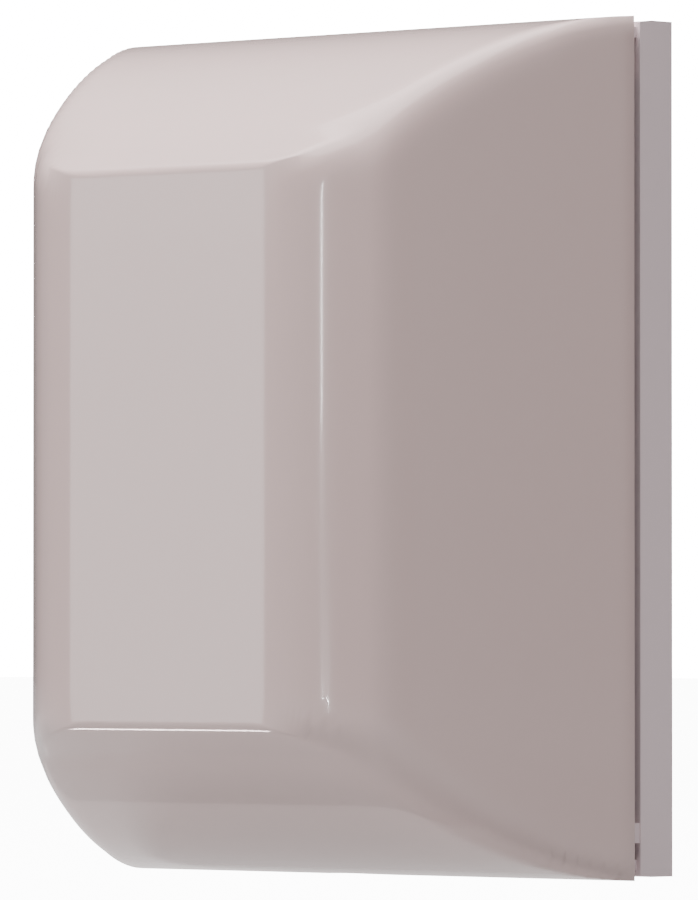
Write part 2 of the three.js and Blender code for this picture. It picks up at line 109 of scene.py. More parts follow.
def softEdges(obj, width=0.4 * mm, degrees=35, segments=2, even=True):
    applyModifier(obj, "BEVEL", width=width, segments=segments, limit_method="ANGLE",
                  angle_limit=math.radians(degrees), use_clamp_overlap=True)
    return evenShade(obj, degrees) if even else smooth(obj, degrees)


def evenShade(obj, degrees=35):  # broad faces keep their own direction, bevels take the turn
    smooth(obj, degrees)
    return applyModifier(obj, "WEIGHTED_NORMAL", weight=60, keep_sharp=True)


def selectFaces(obj, test):  # leaves the object in edit mode with those faces chosen
    pick(obj)
    bpy.ops.object.mode_set(mode="EDIT")
    bpy.ops.mesh.select_mode(type="FACE")
    bpy.ops.mesh.select_all(action="DESELECT")
    bpy.ops.object.mode_set(mode="OBJECT")
    for face in obj.data.polygons:
        face.select = test(face)
    bpy.ops.object.mode_set(mode="EDIT")


def facesFront(face):
    return face.normal.y < -0.9


def facesBack(face):
    return face.normal.y > 0.9


def insetFaces(obj, test, thickness, depth=0.0):  # a negative depth sinks the face
    selectFaces(obj, test)
    bpy.ops.mesh.inset(thickness=thickness, depth=depth)
    bpy.ops.object.mode_set(mode="OBJECT")
    return obj


def blockBetween(name, low, high):
    deselectAll()
    bpy.ops.mesh.primitive_cube_add(size=1, location=[(a + b) / 2 for a, b in zip(low, high)])
    obj = named(name)
    obj.scale = [b - a for a, b in zip(low, high)]
    return place(obj)


def pegAlongY(name, radius, yLow, yHigh, x, z, vertices=32, taper=1.0):
    deselectAll()
    bpy.ops.mesh.primitive_cone_add(vertices=vertices, radius1=radius, radius2=radius * taper,
                                    depth=yHigh - yLow, location=(x, (yLow + yHigh) / 2, z),
                                    rotation=(math.radians(90), 0, 0))
    return place(named(name))


def cutAway(obj, *cutters):
    for cutter in cutters:
        applyModifier(obj, "BOOLEAN", operation="DIFFERENCE", object=cutter, solver="EXACT")
        bpy.data.objects.remove(cutter)
    return obj


def addTo(obj, other):
    applyModifier(obj, "BOOLEAN", operation="UNION", object=other, solver="EXACT")
    bpy.data.objects.remove(other)
    return obj


def joinAll(name, pieces):
    deselectAll()
    for piece in pieces:
        piece.select_set(True)
    context.view_layer.objects.active = pieces[0]
    bpy.ops.object.join()
    return named(name)


def screwHead(name, radius, yLow, yHigh, x, z):  # a domed head with a sunk slot
    head = pegAlongY(name, radius, yLow, yHigh, x, z, vertices=24)
    insetFaces(head, facesFront, radius * 0.25, 0.15 * mm)
    slotLow = (x - radius * 0.75, yLow - mm, z - 0.28 * mm)
    slotHigh = (x + radius * 0.75, yLow + 0.5 * mm, z + 0.28 * mm)
    return cutAway(head, blockBetween("slot_cutter", slotLow, slotHigh))


def finishPiece(obj, body, slot, material, *nodes):
    obj.data.materials.clear()
    obj.data.materials.append(material)
    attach(obj, body)
    if nodes:
        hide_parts(*nodes)
    return obj


def bodyOf(node):
    for body, members in frame["record"]["behaviour"]["bodies"].items():
        if node in members:
            return body
    return None


def newGroup(name, inputs, outputs):
    group = bpy.data.node_groups.new(name, "ShaderNodeTree")
    for label, kind, value in inputs:
        socket = group.interface.new_socket(name=label, in_out="INPUT", socket_type=kind)
        socket.default_value = value
    for label, kind in outputs:
        group.interface.new_socket(name=label, in_out="OUTPUT", socket_type=kind)
    start = group.nodes.new("NodeGroupInput")
    end = group.nodes.new("NodeGroupOutput")
    return group, start, end


def addNode(tree, kind, links=(), **values):
    node = tree.nodes.new(kind)
    for key, value in values.items():
        if key in node.inputs:
            node.inputs[key].default_value = value
        else:
            setattr(node, key, value)
    for socket, source in links:
        tree.links.new(source, node.inputs[socket])
    return node


def mathNode(tree, operation, first, second):
    node = tree.nodes.new("ShaderNodeMath")
    node.operation = operation
    for socket, value in zip(node.inputs, (first, second)):
        if isinstance(value, (int, float)):
            socket.default_value = value
        else:
            tree.links.new(value, socket)
    return node.outputs[0]


def mixColors(tree, factor, first, second):  # a colour Mix has its colours at sockets 6 and 7
    node = addNode(tree, "ShaderNodeMix", data_type="RGBA")
    for index, value in ((0, factor), (6, first), (7, second)):
        if isinstance(value, tuple):
            node.inputs[index].default_value = value
        else:
            tree.links.new(value, node.inputs[index])
    return node.outputs[2]


def buildGrain():  # a fine moulded or cast texture, as a height
    group, start, end = newGroup(
        "grain",
        [("Vector", "NodeSocketVector", (0, 0, 0)), ("Size", "NodeSocketFloat", 900.0),
         ("Depth", "NodeSocketFloat", 1.0)],
        [("Height", "NodeSocketFloat")])
    coarse = addNode(group, "ShaderNodeTexNoise",
                     [("Vector", start.outputs["Vector"]), ("Scale", start.outputs["Size"])],
                     Detail=3.0, Roughness=0.6)
    waves = addNode(group, "ShaderNodeTexNoise", [("Vector", start.outputs["Vector"])],
                    Scale=60.0, Detail=1.0)
    mixed = mathNode(group, "ADD", coarse.outputs["Fac"],
                     mathNode(group, "MULTIPLY", waves.outputs["Fac"], 0.6))
    scaled = mathNode(group, "MULTIPLY", mixed, start.outputs["Depth"])
    group.links.new(scaled, end.inputs["Height"])
    return group


def buildTone():  # slow colour change over a surface, with faint dust on what looks up
    group, start, end = newGroup(
        "tone",
        [("Vector", "NodeSocketVector", (0, 0, 0)), ("Color", "NodeSocketColor", (1, 1, 1, 1)),
         ("Shift", "NodeSocketColor", (1, 1, 1, 1)), ("Amount", "NodeSocketFloat", 0.3),
         ("Dust", "NodeSocketFloat", 0.1)],
        [("Color", "NodeSocketColor"), ("Dust", "NodeSocketFloat")])
    cloud = addNode(group, "ShaderNodeTexNoise", [("Vector", start.outputs["Vector"])],
                    Scale=9.0, Detail=4.0, Roughness=0.55)
    fine = addNode(group, "ShaderNodeTexNoise", [("Vector", start.outputs["Vector"])],
                   Scale=140.0, Detail=3.0)
    both = mathNode(group, "MULTIPLY", cloud.outputs["Fac"], fine.outputs["Fac"])
    amount = mathNode(group, "MULTIPLY", both, start.outputs["Amount"])
    tinted = mixColors(group, amount, start.outputs["Color"], start.outputs["Shift"])
    geometry = addNode(group, "ShaderNodeNewGeometry")
    split = addNode(group, "ShaderNodeSeparateXYZ", [("Vector", geometry.outputs["Normal"])])
    upward = addNode(group, "ShaderNodeMapRange", [("Value", split.outputs["Z"])])
    upward.inputs["From Min"].default_value = 0.55
    upward.inputs["From Max"].default_value = 1.0
    speckle = mathNode(group, "MULTIPLY", upward.outputs["Result"], fine.outputs["Fac"])
    dust = mathNode(group, "MULTIPLY", speckle, start.outputs["Dust"])
    dusty = mixColors(group, dust, tinted, (0.62, 0.58, 0.53, 1))
    group.links.new(dusty, end.inputs["Color"])
    group.links.new(dust, end.inputs["Dust"])
    return group


def buildScratches():  # sparse hairlines and rubbed patches, as a mask
    group, start, end = newGroup(
        "scratches",
        [("Vector", "NodeSocketVector", (0, 0, 0)), ("Amount", "NodeSocketFloat", 0.5)],
        [("Mask", "NodeSocketFloat")])
    stretch = addNode(group, "ShaderNodeMapping", [("Vector", start.outputs["Vector"])],
                      Rotation=(0.3, 0.2, 0.5), Scale=(30.0, 800.0, 90.0))
    lines = addNode(group, "ShaderNodeTexNoise", [("Vector", stretch.outputs["Vector"])],
                    Scale=1.0, Detail=2.0)
    thin = addNode(group, "ShaderNodeMapRange", [("Value", lines.outputs["Fac"])])
    thin.inputs["From Min"].default_value = 0.66
    thin.inputs["From Max"].default_value = 0.74
    patches = addNode(group, "ShaderNodeTexNoise", [("Vector", start.outputs["Vector"])],
                      Scale=14.0, Detail=2.0)
    where = addNode(group, "ShaderNodeMapRange", [("Value", patches.outputs["Fac"])])
    where.inputs["From Min"].default_value = 0.5
    where.inputs["From Max"].default_value = 0.7
    both = mathNode(group, "MULTIPLY", thin.outputs["Result"], where.outputs["Result"])
    group.links.new(mathNode(group, "MULTIPLY", both, start.outputs["Amount"]), end.inputs["Mask"])
    return group


grainGroup = buildGrain()
toneGroup = buildTone()
scratchGroup = buildScratches()


def newMaterial(name, color, shift, roughness, amount=0.5, dust=0.15, scratches=0.3,
                grainSize=900.0, grainDepth=0.3, **constants):
    material = bpy.data.materials.new(name)
    material.use_nodes = True
    tree = material.node_tree
    shader = tree.nodes["Principled BSDF"]
    for socket, value in constants.items():
        shader.inputs[socket.replace("_", " ")].default_value = value
    place3d = addNode(tree, "ShaderNodeTexCoord").outputs["Object"]
    tone = addNode(tree, "ShaderNodeGroup", node_tree=toneGroup)
    tone.inputs["Color"].default_value = (*color, 1)
    tone.inputs["Shift"].default_value = (*shift, 1)
    tone.inputs["Amount"].default_value = amount
    tone.inputs["Dust"].default_value = dust
    tree.links.new(place3d, tone.inputs["Vector"])
    tree.links.new(tone.outputs["Color"], shader.inputs["Base Color"])
    marks = addNode(tree, "ShaderNodeGroup", node_tree=scratchGroup)
    marks.inputs["Amount"].default_value = scratches
    tree.links.new(place3d, marks.inputs["Vector"])
    rough = mathNode(tree, "ADD", mathNode(tree, "MULTIPLY", tone.outputs["Dust"], 0.8), roughness)
    rough = mathNode(tree, "ADD", mathNode(tree, "MULTIPLY", marks.outputs["Mask"], 0.25), rough)
    tree.links.new(rough, shader.inputs["Roughness"])
    grain = addNode(tree, "ShaderNodeGroup", node_tree=grainGroup)
    grain.inputs["Size"].default_value = grainSize
    grain.inputs["Depth"].default_value = grainDepth
    tree.links.new(place3d, grain.inputs["Vector"])
    bump = addNode(tree, "ShaderNodeBump", [("Height", grain.outputs["Height"])],
                   Strength=0.25, Distance=0.0002)
    tree.links.new(bump.outputs["Normal"], shader.inputs["Normal"])
    return material


milkyMaterial = newMaterial(
    "milky_polycarbonate", (0.60, 0.45, 0.435), (0.64, 0.485, 0.465), 0.14,
    amount=0.5, dust=0.05, scratches=0.1, grainSize=500.0, grainDepth=0.04,
    IOR=1.52, Coat_Weight=0.5, Coat_Roughness=0.05)
trayMaterial = newMaterial(
    "tray_satin_plastic", (0.76, 0.625, 0.65), (0.80, 0.66, 0.68), 0.38,
    amount=0.5, dust=0.1, scratches=0.2, grainSize=1400.0, grainDepth=0.35, IOR=1.48)
steelMaterial = newMaterial(
    "turned_steel", (0.56, 0.57, 0.59), (0.42, 0.41, 0.40), 0.3,
    amount=0.7, scratches=0.5, grainSize=2200.0, grainDepth=0.25, Metallic=1.0)
zincMaterial = newMaterial(
    "passivated_zinc", (0.60, 0.59, 0.54), (0.52, 0.50, 0.40), 0.38,
    amount=0.9, scratches=0.5, grainSize=1200.0, grainDepth=0.3, Metallic=0.9)
brassMaterial = newMaterial(
    "machined_brass", (0.68, 0.50, 0.22), (0.50, 0.34, 0.14), 0.3,
    amount=0.6, scratches=0.4, grainSize=2000.0, grainDepth=0.2, Metallic=1.0)
nylonMaterial = newMaterial(
    "moulded_nylon", (0.80, 0.77, 0.68), (0.70, 0.65, 0.52), 0.48,
    amount=0.5, grainSize=1600.0, grainDepth=0.3, Subsurface_Weight=0.1, IOR=1.5)
darkSteelMaterial = newMaterial(
    "phosphated_steel", (0.10, 0.105, 0.115), (0.18, 0.17, 0.16), 0.42,
    amount=0.6, scratches=0.5, grainSize=1800.0, grainDepth=0.35, Metallic=0.7)
copperMaterial = newMaterial(
    "enamelled_copper", (0.55, 0.22, 0.09), (0.38, 0.13, 0.05), 0.28,
    amount=0.7, grainSize=2400.0, grainDepth=0.3, Metallic=0.8)
blackMaterial = newMaterial(
    "black_plastic", (0.022, 0.023, 0.026), (0.05, 0.05, 0.05), 0.45,
    amount=0.6, grainSize=1800.0, grainDepth=0.35)
redMaterial = newMaterial(
    "red_plastic", (0.50, 0.045, 0.035), (0.36, 0.03, 0.03), 0.4,
    amount=0.6, grainSize=1800.0, grainDepth=0.3)
blueMaterial = newMaterial(
    "blue_plastic", (0.035, 0.11, 0.36), (0.03, 0.07, 0.22), 0.4,
    amount=0.6, grainSize=1800.0, grainDepth=0.3)
boardMaterial = newMaterial(
    "green_solder_mask", (0.02, 0.13, 0.06), (0.03, 0.20, 0.10), 0.32,
    amount=0.8, grainSize=900.0, grainDepth=0.2, Coat_Weight=0.4, Coat_Roughness=0.15)
lampWhiteMaterial = newMaterial(
    "lamp_board_white", (0.84, 0.84, 0.82), (0.74, 0.74, 0.72), 0.35, amount=0.5)
lensMaterial = newMaterial(
    "lamp_lens", (0.95, 0.95, 0.93), (0.85, 0.85, 0.83), 0.12,
    amount=0.4, Transmission_Weight=0.7, IOR=1.49)

materialOfSlot = {
    "milky_cover": milkyMaterial, "tray_plastic": trayMaterial, "steel": steelMaterial,
    "zinc_plate": zincMaterial, "brass": brassMaterial, "nylon": nylonMaterial,
    "dark_steel": darkSteelMaterial, "copper": copperMaterial, "black_plastic": blackMaterial,
    "red_plastic": redMaterial, "blue_plastic": blueMaterial, "circuit_board": boardMaterial,
    "lamp_white": lampWhiteMaterial, "lamp_lens": lensMaterial,
}
slotOfNode = {entry["node"]: entry["material_slot"] for entry in frame["record"]["subparts"]}
print("materials ready")


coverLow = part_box("front_cover")[0]
coverValues = {
    "frontY": coverLow.y,
    "depth": 137.5 * mm,
    "wall": 3 * mm,
    # flat half, shoulder radius, angle it turns through, half size and slope at the rim
    "plan": (58 * mm, 65.8 * mm, 0.827, 153 * mm, 0.34),
    "side": (120.5 * mm, 6.5 * mm, 0.84, 190 * mm, 0.03),
    "hip": 29 * mm,
    "hipStart": 15 * mm,
    "panelRings": (0, 0.2, 0.4, 0.6, 0.8, 0.96, 0.995, 1),
    "edgeRings": 8,
    "edgeDepth": 3.4 * mm,
    "flankRings": 26,
    "spread": 1.3,
    "shoulderSteps": 48,
    "curveSteps": 64,
    "rimCatch": 1.6 * mm,
    # across, radius, how far it rises into the rim, height and length of the cut
    "notch": (-12 * mm, 30 * mm, 8 * mm, -185 * mm, 30 * mm),
}


def quadratic(start, control, end, t):
    s = 1 - t
    return tuple(s * s * a + 2 * s * t * b + t * t * c for a, b, c in zip(start, control, end))


def profileOf(flat, shoulder, turn, rim, endSlope):  # across from depth, and depth from across
    full = coverValues["depth"]
    shoulderSteps, curveSteps = coverValues["shoulderSteps"], coverValues["curveSteps"]
    points = []
    for i in range(shoulderSteps + 1):
        angle = turn * i / shoulderSteps
        points.append((flat + shoulder * math.sin(angle), shoulder * (1 - math.cos(angle))))
    across, depth = points[-1]
    startSlope = 1 / math.tan(turn)
    run = (rim - endSlope * (full - depth) - across) / (startSlope - endSlope)
    bend = (across + startSlope * run, depth + run)
    for i in range(1, curveSteps + 1):
        points.append(quadratic((across, depth), bend, (rim, full), i / curveSteps))

    def acrossAt(place):
        for (a0, d0), (a1, d1) in zip(points, points[1:]):
            if d0 <= place <= d1:
                return a0 + (a1 - a0) * (place - d0) / (d1 - d0)
        return rim

    def depthAt(place):
        if place <= flat:
            return 0.0
        for (a0, d0), (a1, d1) in zip(points, points[1:]):
            if a0 <= place <= a1:
                return d0 + (d1 - d0) * (place - a0) / (a1 - a0)
        return full

    return acrossAt, depthAt


def softDepth(a, b):  # the deeper of two outlines, softened where they meet in a hip
    v = coverValues
    deeper = max(a, b)
    fade = min(3 * (1 - deeper / v["depth"]), deeper / v["hipStart"], 1)
    radius = max(v["hip"] * fade, 1e-9)
    share = max(radius - abs(a - b), 0) / radius
    return deeper + share * share * radius * 0.25


def buildCover():
    v = coverValues
    planAcross, planDepth = profileOf(*v["plan"])
    sideAcross, sideDepth = profileOf(*v["side"])
    levels = [v["edgeDepth"] * (i / v["edgeRings"]) ** 2 for i in range(1, v["edgeRings"])]
    flank = v["depth"] - v["edgeDepth"]
    levels += [v["edgeDepth"] + flank * (i / v["flankRings"]) ** v["spread"]
               for i in range(v["flankRings"] + 1)]
    halves = [(v["plan"][0] * share, v["side"][0] * share) for share in v["panelRings"]]
    halves += [(planAcross(level), sideAcross(level)) for level in levels]
    count = len(halves) - 1
    deselectAll()
    bpy.ops.mesh.primitive_grid_add(x_subdivisions=2 * count, y_subdivisions=2 * count, size=2)
    shell = named("milky_cover_shell")
    for vertex in shell.data.vertices:
        across, up = vertex.co.x, vertex.co.y
        reach = max(abs(across), abs(up), 1e-9)
        halfWidth, halfHeight = halves[round(reach * count)]
        x = halfWidth * across / reach
        z = halfHeight * up / reach
        depth = softDepth(planDepth(abs(x)), sideDepth(abs(z)))
        vertex.co = (x, v["frontY"] + min(depth, v["depth"]), z)
    shell.data.update()
    applyModifier(shell, "SOLIDIFY", thickness=v["wall"], offset=-1, use_even_offset=True)
    rimY = v["frontY"] + v["depth"]
    for vertex in shell.data.vertices:  # a flat rim
        if vertex.co.y > rimY - v["rimCatch"]:
            vertex.co.y = rimY
    notchX, radius, rise, notchZ, length = v["notch"]
    deselectAll()
    bpy.ops.mesh.primitive_cylinder_add(vertices=96, radius=radius, depth=length,
                                        location=(notchX, rimY + radius - rise, notchZ))
    cutAway(shell, named("notch_cutter"))
    softEdges(shell, width=0.35 * mm, degrees=50, even=False)
    finishPiece(shell, "cover", "milky_cover", milkyMaterial, "front_cover")


buildCover()
print("cover ready")


# The cover's own hinge ears on the left and its two snap tabs on the right.
hingeValues = {
    "x": -150.9 * mm,
    "y": -23.4 * mm,
    "heights": (-169 * mm, 169 * mm),
    "knuckle": 2 * mm,
    "bore": 1.2 * mm,
    "web": (-152.5 * mm, -149.3 * mm, -31 * mm),  # left, right, front
    "span": (-9 * mm, -4.2 * mm),  # below and above the hinge height
}
tabValues = {
    "half": 4.3 * mm,
    "hook": (143.4 * mm, 145.5 * mm),
    "root": (145 * mm, 148.6 * mm),
    "front": -34 * mm,
    "rootBack": -27 * mm,
    "tip": -16 * mm,
}


def rodAlongZ(name, radius, zLow, zHigh, x, y, vertices=32):
    deselectAll()
    bpy.ops.mesh.primitive_cylinder_add(vertices=vertices, radius=radius, depth=zHigh - zLow,
                                        location=(x, y, (zLow + zHigh) / 2))
    return place(named(name))


def buildHingeEars():
    v = hingeValues
    left, right, front = v["web"]
    ears = []
    for height in v["heights"]:
        low, high = (height + offset for offset in v["span"])
        ear = rodAlongZ("cover_ear", v["knuckle"], low, high, v["x"], v["y"])
        addTo(ear, blockBetween("ear_web", (left, front, low), (right, v["y"], high)))
        bore = rodAlongZ("ear_bore", v["bore"], low - mm, high + mm, v["x"], v["y"])
        ears.append(softEdges(cutAway(ear, bore), width=0.25 * mm))
    finishPiece(joinAll("cover_hinge_ears", ears), "cover", "milky_cover", milkyMaterial)


def buildSnapTabs():
    v = tabValues
    tabs = []
    for height in hingeValues["heights"]:
        low, high = height - v["half"], height + v["half"]
        hook = blockBetween("snap_tab", (v["hook"][0], v["front"], low),
                            (v["hook"][1], v["tip"], high))
        addTo(hook, blockBetween("tab_root", (v["root"][0], v["front"], low),
                                 (v["root"][1], v["rootBack"], high)))
        insetFaces(hook, facesBack, 0.5 * mm, 0.3 * mm)
        tabs.append(softEdges(hook, width=0.3 * mm))
    finishPiece(joinAll("cover_snap_tabs", tabs), "cover", "milky_cover", milkyMaterial)


buildHingeEars()
buildSnapTabs()
print("hinge ears and snap tabs ready")


# Every other CAD piece: doubles merged, fine edges, its finish.
fineEdges = {"ring_gear": 0.25, "intermediate_gear": 0.2, "motor_pinion": 0.15,
             "layshaft_pinion": 0.2, "back_tray": 0.6,
             "hinge_pin_lower": 0.15, "hinge_pin_upper": 0.15,
             "main_board": 0.1, "button_board": 0.1, "encoder_board": 0.1, "lamp_board": 0.1}
plainEdge = 0.35


def copyOf(node):
    pick(frame["nodes"][node])
    bpy.ops.object.duplicate()
    piece = named(node + "_fine")
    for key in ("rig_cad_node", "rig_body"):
        del piece[key]
    bpy.ops.object.mode_set(mode="EDIT")
    bpy.ops.mesh.select_all(action="SELECT")
    bpy.ops.mesh.remove_doubles(threshold=0.005 * mm)
    bpy.ops.mesh.dissolve_limited(angle_limit=math.radians(0.5))
    bpy.ops.object.mode_set(mode="OBJECT")
    return piece


def finishNode(piece, node):
    slot = slotOfNode[node]
    finishPiece(piece, bodyOf(node), slot, materialOfSlot[slot], node)


def refine(node):
    finishNode(softEdges(copyOf(node), width=fineEdges.get(node, plainEdge) * mm), node)


# Boxed components: a case with a stepped lid, and a small raised patch for its rating.
caseValues = {"lidInset": 0.9 * mm, "lidDepth": -0.35 * mm, "patch": 0.3 * mm, "edge": 0.4 * mm}


def buildCase(node):
    v = caseValues
    low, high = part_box(node)
    case = blockBetween(node + "_case", low, high)
    insetFaces(case, facesFront, v["lidInset"], v["lidDepth"])
    insetFaces(case, facesFront, v["lidInset"], v["patch"])
    finishNode(softEdges(case, width=v["edge"]), node)


# The terminal block: a row of wire cells with a clamp screw in each.
terminalValues = {"cells": 6, "sink": -3.2 * mm, "lip": 1.1 * mm, "screw": 2.1 * mm}


def buildTerminalBlock():
    v = terminalValues
    low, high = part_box("terminal_block")
    pitch = (high.x - low.x) / v["cells"]
    cells = []
    screws = []
    for i in range(v["cells"]):
        left = low.x + i * pitch
        cell = blockBetween("terminal_cell", (left, low.y, low.z), (left + pitch, high.y, high.z))
        insetFaces(cell, facesFront, v["lip"], v["sink"])
        insetFaces(cell, lambda face: face.normal.z < -0.9, v["lip"], v["sink"])
        cells.append(softEdges(cell, width=0.25 * mm))
        spot = (left + pitch / 2, (low.z + high.z) / 2)
        screws.append(screwHead("clamp_screw", v["screw"], low.y + mm, low.y + 3 * mm, *spot))
    finishNode(joinAll("terminal_block_row", cells), "terminal_block")
    head = softEdges(joinAll("terminal_clamp_screws", screws), width=0.15 * mm)
    finishPiece(head, "base", "steel", steelMaterial)


# The capacitor: a can crimped near its foot, with a stepped top.
capacitorValues = {"crimp": 2.5 * mm, "crimpDepth": 0.7 * mm, "rim": 0.8 * mm, "sides": 48}


def buildCapacitor():
    v = capacitorValues
    low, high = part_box("capacitor")
    x, z = (low.x + high.x) / 2, (low.z + high.z) / 2
    radius = (high.x - low.x) / 2
    can = pegAlongY("capacitor_can", radius, low.y, high.y, x, z, v["sides"])
    insetFaces(can, facesFront, v["rim"], -0.4 * mm)
    insetFaces(can, facesFront, v["rim"] * 2, 0.2 * mm)
    groove = pegAlongY("groove_outer", radius + mm, high.y - 2 * v["crimp"],
                       high.y - v["crimp"], x, z, v["sides"])
    core = pegAlongY("groove_inner", radius - v["crimpDepth"], high.y - 3 * v["crimp"],
                     high.y, x, z, v["sides"])
    cutAway(groove, core)
    cutAway(can, groove)
    finishNode(softEdges(can, width=0.3 * mm), "capacitor")


# The transformer: stamped sheets in a stack, a wound coil, two bobbin cheeks and solder lugs.
transformerValues = {
    "sheets": 17,
    "sheetShare": 0.93,  # of the pitch, the rest is the gap between sheets
    "turns": 9,
    "turnHalf": 1.2 * mm,
    "turnRise": 0.35 * mm,
    "cheek": 1.2 * mm,
    "lugs": 4,
    "lugHalf": 1.1 * mm,
    "lugLength": 4 * mm,
}


def buildTransformer():
    v = transformerValues
    low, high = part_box("transformer_core")
    pitch = (high.y - low.y) / v["sheets"]
    sheet = copyOf("transformer_core")
    pick(sheet)
    bpy.ops.object.mode_set(mode="EDIT")
    bpy.ops.mesh.select_all(action="SELECT")
    bpy.ops.mesh.bisect(plane_co=(0, low.y + pitch * v["sheetShare"], 0), plane_no=(0, 1, 0),
                        use_fill=True, clear_outer=True)
    bpy.ops.object.mode_set(mode="OBJECT")
    softEdges(sheet, width=0.16 * mm, segments=1)
    applyModifier(sheet, "ARRAY", count=v["sheets"], use_relative_offset=False,
                  use_constant_offset=True, constant_offset_displace=(0, pitch, 0))
    finishNode(sheet, "transformer_core")
    coilLow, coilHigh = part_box("transformer_coil")
    coil = copyOf("transformer_coil")
    finishNode(softEdges(coil, width=1.2 * mm, segments=3), "transformer_coil")
    bands = []
    span = coilHigh.z - coilLow.z
    for i in range(v["turns"]):
        z = coilLow.z + span * (i + 0.5) / v["turns"]
        band = blockBetween(
            "turn", (coilLow.x - 0.15 * mm, coilLow.y - v["turnRise"], z - v["turnHalf"]),
            (coilHigh.x + 0.15 * mm, low.y - 0.5 * mm, z + v["turnHalf"]))
        bands.append(softEdges(band, width=0.55 * mm, segments=3))
    finishPiece(joinAll("coil_outer_turns", bands), "base", "copper", copperMaterial)
    cheeks = []
    for z in (coilLow.z - v["cheek"], coilHigh.z):
        cheek = blockBetween("cheek", (coilLow.x - mm, coilLow.y - mm, z),
                             (coilHigh.x + mm, low.y - 0.4 * mm, z + v["cheek"]))
        cheeks.append(insetFaces(cheek, facesFront, 0.3 * mm, 0.2 * mm))
    for i in range(v["lugs"]):
        x = coilLow.x + (coilHigh.x - coilLow.x) * (i + 0.5) / v["lugs"]
        lug = blockBetween(
            "lug", (x - v["lugHalf"], coilLow.y - v["lugLength"], coilLow.z - 1.1 * mm),
            (x + v["lugHalf"], coilLow.y - 0.6 * mm, coilLow.z - 0.4 * mm))
        insetFaces(lug, facesFront, 0.2 * mm, 1.4 * mm)
        cheeks.append(lug)
    finishPiece(softEdges(joinAll("bobbin_cheeks", cheeks), width=0.3 * mm), "base", "nylon",
                nylonMaterial)


# The motor: vent slots in its can, screws and brush holders on its end cap.
motorValues = {
    "vents": 8,
    "ventWidth": 4 * mm,
    "ventLength": 15 * mm,
    "ventFromFront": 14 * mm,
    "screws": 3,
    "screwCircle": 27 * mm,
    "screwHead": 2.6 * mm,
    "brush": 4.2 * mm,
    "brushPlace": (19 * mm, -3 * mm),
}


def buildMotor():
    v = motorValues
    low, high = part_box("motor_can")
    x, z = (low.x + high.x) / 2, (low.z + high.z) / 2
    radius = (high.x - low.x) / 2
    can = copyOf("motor_can")
    cutters = []
    for i in range(v["vents"] // 2):
        angle = math.pi * i / (v["vents"] // 2) + 0.2
        deselectAll()
        bpy.ops.mesh.primitive_cube_add(size=1, location=(x, low.y + v["ventFromFront"], z))
        cutter = named("vent_cutter")
        cutter.scale = (radius * 2.4, v["ventLength"], v["ventWidth"])
        cutter.rotation_euler = (0, angle, 0)
        place(cutter)
        cutters.append(softEdges(cutter, width=1.9 * mm, segments=3, even=False))
    cutAway(can, *cutters)
    finishNode(softEdges(can, width=0.3 * mm), "motor_can")
    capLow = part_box("motor_end_cap")[0]
    refine("motor_end_cap")
    screws = []
    for i in range(v["screws"]):
        angle = math.pi * (0.25 + i * 2 / v["screws"])
        spot = (x + v["screwCircle"] * math.cos(angle), z + v["screwCircle"] * math.sin(angle))
        screws.append(screwHead("cap_screw", v["screwHead"], capLow.y - 1.2 * mm,
                                capLow.y + 0.5 * mm, *spot))
    finishPiece(softEdges(joinAll("end_cap_screws", screws), width=0.2 * mm), "base", "steel",
                steelMaterial)
    holders = []
    brushX, brushZ = v["brushPlace"]
    for side in (-1, 1):
        holder = pegAlongY("brush_holder", v["brush"], capLow.y - 2.5 * mm, capLow.y + mm,
                           x + side * brushX, z + side * brushZ, 12)
        insetFaces(holder, facesFront, 1.1 * mm, 1.0 * mm)
        insetFaces(holder, facesFront, 0.8 * mm, -0.6 * mm)
        holders.append(holder)
    finishPiece(softEdges(joinAll("brush_holders", holders), width=0.3 * mm), "base", "brass",
                brassMaterial)


# Small parts soldered on the main board: resistors, chips and a row of header pins.
boardValues = {
    "resistors": ((-124, -62), (-124, -68), (-124, -74), (-74, -62), (-74, -66)),
    "resistorRadius": 1.1 * mm,
    "resistorLength": 6 * mm,
    "chips": ((-84, -96), (-118, -92)),
    "chipHalf": (4 * mm, 3 * mm),
    "chipLegs": 4,
    "legPitch": 2 * mm,
    "header": (-50, -94),
    "pins": 5,
    "pinHalf": 0.35 * mm,
    "pinPitch": 2.5 * mm,
}


